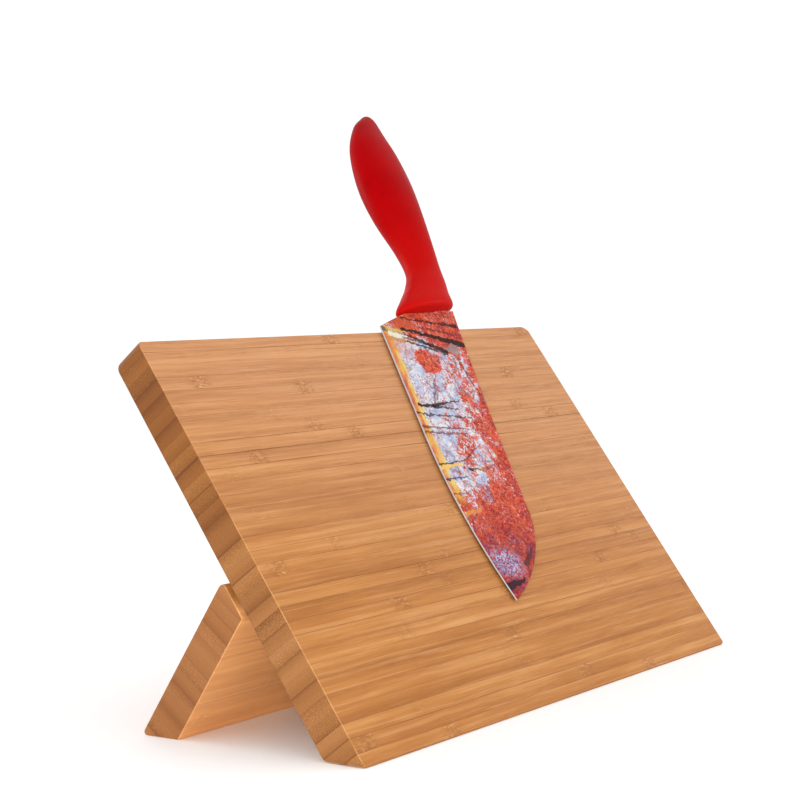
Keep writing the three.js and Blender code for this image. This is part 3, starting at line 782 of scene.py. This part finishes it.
def cut_away(made, cutter):
    """Cuts a mesh out of a piece for good. The cutter is in the piece's own frame."""
    tool = placed_object("cutter", cutter)
    tool.matrix_world = made.matrix_world
    modifier = made.modifiers.new("cut", "BOOLEAN")
    modifier.operation = "DIFFERENCE"
    modifier.solver = "EXACT"
    modifier.object = tool
    bpy.context.view_layer.update()
    result = bpy.data.meshes.new_from_object(made.evaluated_get(bpy.context.evaluated_depsgraph_get()))
    made.modifiers.remove(modifier)
    made.data = result
    bpy.data.objects.remove(tool)


# ---------------------------------------------------------------- board and leg

def board_section(x):
    """In the upright frame: y into the board, z up it."""
    distance = WIDTH / 2 - abs(x)
    end = int(x > 0)
    top = HEIGHT - quarter(distance, TOP_CORNERS[end])
    foot = quarter(distance, BOTTOM_CORNERS[end]) * FOOT_SHARE
    rise = STOCK * math.tan(LEAN)
    corners = inset([(0, foot), (STOCK, rise + foot), (STOCK, top), (0, top)], quarter(distance, EASE))
    radii = (FOOT_EASE, BACK_FOOT_RADIUS, BACK_TOP_RADIUS, EASE)
    return [(*corner, radius) for corner, radius in zip(corners, radii)]


def leg_section(x):
    """In the leg's own frame: y out from the hinge axis, z up along the leg."""
    inner, outer = LEG_OFFSET, LEG_OFFSET + STOCK

    def at_bevel(out):
        return (out * math.cos(OPENING) - HINGE_GAP / 2) / math.sin(OPENING)

    def at_table(out):
        depth = HINGE_DEPTH + out * math.cos(OPENING)
        height = HINGE_HEIGHT + out * math.sin(OPENING)
        return (depth * math.sin(LEAN) - height * math.cos(LEAN)) / math.cos(OPENING - LEAN)

    foot = [(out, at_table(out)) for out in (inner, outer)]
    bevel = [(out, at_bevel(out)) for out in (outer, inner)]
    corners = inset(foot + bevel, quarter(WIDTH / 2 - abs(x), EASE))
    radii = (FOOT_EASE, LEG_HEEL_RADIUS, LEG_TOP_RADIUS, LEG_BEVEL_EASE)
    return [(*corner, radius) for corner, radius in zip(corners, radii)]


def board_pieces():
    board_wood = bamboo("bamboo_board", 3.1)
    filler_wood = bamboo("bamboo_filler", 29.6, 0.6)
    board = piece("board_body", plank(board_section), board_wood, UPRIGHT, "board", "bamboo", "front_board")
    for height in SLOT_HEIGHTS.values():
        cut_away(board, slot_mesh(SLOT_LENGTH, SLOT_WIDTH, height, FRONT_SKIN, STOCK + CUTTER_EXCESS))
    board.data.set_sharp_from_angle(angle=math.radians(SHARP_ANGLE))
    weighted_normals(board)
    for side, height in SLOT_HEIGHTS.items():
        bar = slot_mesh(SLOT_LENGTH - 2 * GAP, SLOT_WIDTH - 2 * GAP, height, FILLER_FRONT, STOCK)
        piece("filler_bar_" + side, bar, filler_wood, UPRIGHT, "board", "bamboo", "filler_" + side)


def leg_piece():
    leg_wood = bamboo("bamboo_leg", 17.4, 0.35, painted_light_inside=True)
    weighted_normals(piece("leg_body", plank(leg_section), leg_wood, LEG_FRAME, "leg", "bamboo", "leg"))


# ---------------------------------------------------------------- knife

LEAST_WIDTH = 0.02  # of the blade, where it closes at the tip
LEAST_HALF = 0.05  # half thickness of the blade's spine at the tip
FLAT_COLUMNS = 6  # across the blade, from the bevel to the spine
SPINE_STEPS = 60  # along each of the spine's two curves
OUTLINE_LEVELS = (HEEL.y, HEEL.y - 0.6, NECK_END.y, -16.0, -12.0)  # round the heel and up the neck
BLADE_SHARP_ANGLE = 12  # so that the shallow ground bevel keeps its line
HANDLE_SHARP_ANGLE = 60

HANDLE_SQUARENESS = 0.92  # 1 is an ellipse
HANDLE_STATIONS = [  # x, z, tilt of the section in degrees, half width, half thickness
    (-4, -3.6, 14, 20.6, 7.2),
    (-3.9, -2.6, 14, 22.6, 8.6),
    (-3.3, 0.2, 13, 22.6, 9.2),
    (0.4, 7.5, 11, 18.6, 8.6),
    (5, 16, 7, 14.6, 8.3),
    (8.5, 27, 3, 11.4, 8),
    (9.3, 43, 0, 12, 9.3),
    (7.6, 66, -2, 16.5, 11),
    (7.8, 88, -4, 18.2, 11.4),
    (10.2, 112, -8, 16.4, 9.1),
    (14.1, 130, -16, 10.9, 6),
    (17.8, 139.2, -24, 6.3, 4.1),
    (19.4, 143, -28, 3.9, 2.8),
    (20.2, 144.6, -30, 1.9, 1.5),
]


def edge_at(z):
    """Where the cutting edge lies across the blade."""
    swept = max(0.0, RISE_START - z) / RISE_LENGTH
    return EDGE_OFFSET + RISE_HEIGHT * swept * swept


def spine_points(steps):
    """The spine from the collar down to the tip."""
    points = []
    for k in range(steps + 1):
        t = k / steps
        points.append((1 - t) ** 2 * SPINE_TOP + 2 * t * (1 - t) * SPINE_MIDDLE + t * t * SPINE_END)
    for k in range(1, steps + 1):
        t = k / steps
        u = 1 - t
        points.append(
            u**3 * SPINE_END + 3 * t * u * u * SPINE_NOSE + 3 * t * t * u * TIP_APPROACH + t**3 * TIP
        )
    return points


def half_thickness(x, z):
    from_edge = x - edge_at(z)
    if from_edge < BEVEL_WIDTH:
        return (EDGE_THICKNESS + (BEVEL_THICKNESS - EDGE_THICKNESS) * from_edge / BEVEL_WIDTH) / 2
    share = (from_edge - BEVEL_WIDTH) / (FULL_THICKNESS_AT - edge_at(z) - BEVEL_WIDTH)
    return (BEVEL_THICKNESS + (BLADE_THICKNESS - BEVEL_THICKNESS) * share) / 2


def blade_left(z):
    """The cutting edge, the back of the heel, and the top edge hidden by the collar."""
    if z <= HEEL.y:
        return edge_at(z)
    low, high = (HEEL, NECK_END) if z <= NECK_END.y else (NECK_END, SPINE_TOP)
    return low.x + (high.x - low.x) * (z - low.y) / (high.y - low.y)


def blade_levels(spine):
    """The spine's points, (x, z) from the tip up, and some between them where the left outline turns."""
    levels = [(point.x, point.y) for point in spine]
    for z in OUTLINE_LEVELS:
        for one, two in zip(spine, spine[1:]):
            if one.y > z > two.y:
                share = (one.y - z) / (one.y - two.y)
                levels.append((one.x + (two.x - one.x) * share, z))
    return sorted(levels, key=lambda level: level[1])


def blade_ring(right, z):
    """The blade's section at a level: a ground bevel, a flat that thickens, and an eased spine."""
    left = blade_left(z)
    right = max(right, left + LEAST_WIDTH)
    ridge = min(max(edge_at(z) + BEVEL_WIDTH, left + LEAST_WIDTH / 2), right - LEAST_WIDTH / 4)
    ease = min(SPINE_EASE, (right - ridge) / 4)
    across = [left, (left + ridge) / 2, ridge]
    across += [ridge + (right - ease - ridge) * k / FLAT_COLUMNS for k in range(1, FLAT_COLUMNS + 1)]
    half = [half_thickness(x, z) for x in across]
    across += [right - ease * 0.3, right]
    half += [half_thickness(right, z) - ease * 0.3, max(half_thickness(right, z) - ease, LEAST_HALF)]
    near = [(x, -h, z) for x, h in zip(across, half)]
    far = [(x, h, z) for x, h in zip(across, half)]
    return near + far[::-1]


def blade_mesh():
    return skin([blade_ring(right, z) for right, z in blade_levels(spine_points(SPINE_STEPS))])


def tang_mesh():
    left, right, root, end = TANG
    half = BLADE_THICKNESS / 2
    section = [(left, -half), (right, -half), (right, half), (left, half)]
    return skin([[(x, y, z) for x, y in section] for z in (root, end)])


def smooth_between(stations, steps):
    """Catmull-Rom through the stations, each a row of numbers."""
    first = [2 * a - b for a, b in zip(stations[0], stations[1])]
    last = [2 * a - b for a, b in zip(stations[-1], stations[-2])]
    line = [first, *stations, last]
    rows = []
    for i in range(1, len(line) - 2):
        for k in range(steps):
            t = k / steps
            row = []
            for before, here, there, after in zip(*line[i - 1 : i + 3]):
                leave, arrive = (there - before) / 2, (after - here) / 2
                turn = 2 * here - 2 * there + leave + arrive
                bend = -3 * here + 3 * there - 2 * leave - arrive
                row.append(turn * t**3 + bend * t * t + leave * t + here)
            rows.append(row)
    return rows + [list(stations[-1])]


def flattened(share):
    """Takes a circle's coordinate to that of a squarer oval."""
    return math.copysign(abs(share) ** HANDLE_SQUARENESS, share)


def handle_mesh(sides=96, steps=8):
    rings = []
    for x, z, tilt, width, thickness in smooth_between(HANDLE_STATIONS, steps):
        turn = math.radians(tilt)
        ring = []
        for j in range(sides):
            angle = 2 * math.pi * j / sides
            across = width * flattened(math.cos(angle))
            out = thickness * flattened(math.sin(angle))
            ring.append((x + across * math.cos(turn), -out, z + across * math.sin(turn)))
        rings.append(ring)
    return skin(rings)


def knife_pieces():
    coating = (printed_blade("printed_blade"), KNIFE_FRAME, "knife", "blade_coating")
    red = (moulded_red("handle_red"), KNIFE_FRAME, "knife", "handle_plastic")
    piece("knife_blade_body", blade_mesh(), *coating, "knife_blade", sharp=BLADE_SHARP_ANGLE)
    piece("knife_tang", tang_mesh(), *coating)
    piece("knife_handle_body", handle_mesh(), *red, "knife_handle", sharp=HANDLE_SHARP_ANGLE)


# ---------------------------------------------------------------- carried-over CAD nodes

def carry(prefix, material):
    """Gives a material to the CAD nodes whose names begin with the prefix."""
    for name, node in frame["nodes"].items():
        if name.startswith(prefix):
            node.data.materials.clear()
            node.data.materials.append(material)


def hardware():
    steel = brushed_metal("keeper_steel", srgb(150, 152, 155), srgb(96, 98, 102), 0.42)
    nickel = brushed_metal("magnet_nickel", srgb(206, 206, 202), srgb(160, 160, 156), 0.28)
    brass = brushed_metal("hinge_brass", srgb(205, 168, 98), srgb(160, 122, 62), 0.34)
    carry("magnet", nickel)
    carry("keeper", steel)
    carry("hinge", brass)


# ---------------------------------------------------------------- stage, light and camera

SENSOR_WIDTH = 36.0
LENS = 77.98
EYE = Vector((-669.2, -437.2, 169.9))  # from the middle of the board's front bottom edge
FORWARD = Vector((0.7829, 0.6211, -0.0361))
PICTURE_RIGHT = Vector((0.6197, -0.7835, -0.0432))
WORLD_STRENGTH = 1.06
LIGHTS = [  # name, place and aim in metres, diameter in metres, power in watts
    ("key", (0.3, -1.9, 1.6), (0, 0, 0.12), 1.4, 3),
    ("low_left", (-1.4, -1.0, 0.16), (-0.05, -0.02, 0.04), 0.6, 24),
    ("low_right", (1.4, -1.0, 0.2), (0.05, -0.02, 0.04), 0.6, 8),
    ("behind", (-0.4, 1.7, 0.5), (0, 0.02, 0.1), 0.8, 8),
]


def floor(radius=14.0, sides=96):
    """A wide pale floor that runs out of sight."""
    mesh = bmesh.new()
    rings = []
    for share in (0.03, 0.2, 1.0):
        out = radius * share
        angles = [2 * math.pi * k / sides for k in range(sides)]
        rings.append([mesh.verts.new((out * math.cos(angle), out * math.sin(angle), 0)) for angle in angles])
    mesh.faces.new(rings[0])
    for one, two in zip(rings, rings[1:]):
        for i in range(sides):
            j = (i + 1) % sides
            mesh.faces.new((one[i], two[i], two[j], one[j]))
    made = placed_object("floor", mesh)
    made.data.materials.append(floor_paper())


def area_light(name, place, aim, size, power):
    data = bpy.data.lights.new(name, "AREA")
    data.shape = "DISK"
    data.size = size
    data.energy = power
    made = bpy.data.objects.new(name, data)
    made.location = place
    made.rotation_euler = (Vector(aim) - Vector(place)).to_track_quat("-Z", "Y").to_euler()
    bpy.context.scene.collection.objects.link(made)


def world_light():
    world = bpy.data.worlds.new("studio")
    world.use_nodes = True
    background = world.node_tree.nodes["Background"]
    background.inputs["Color"].default_value = (1, 1, 1, 1)
    background.inputs["Strength"].default_value = WORLD_STRENGTH
    bpy.context.scene.world = world


def camera():
    data = bpy.data.cameras.new("camera")
    data.sensor_width = SENSOR_WIDTH
    data.lens = LENS
    data.clip_start = 0.01
    made = bpy.data.objects.new("camera", data)
    forward = FORWARD.normalized()
    right = (PICTURE_RIGHT - PICTURE_RIGHT.dot(forward) * forward).normalized()
    turn = Matrix((right, right.cross(forward), -forward)).transposed().to_4x4()
    made.matrix_world = Matrix.Translation(foot_point + EYE * MM) @ turn
    bpy.context.scene.collection.objects.link(made)
    bpy.context.scene.camera = made


board_pieces()
leg_piece()
knife_pieces()
hardware()
floor()
camera()
world_light()
for light in LIGHTS:
    area_light(*light)
bpy.context.scene.view_settings.view_transform = "Standard"
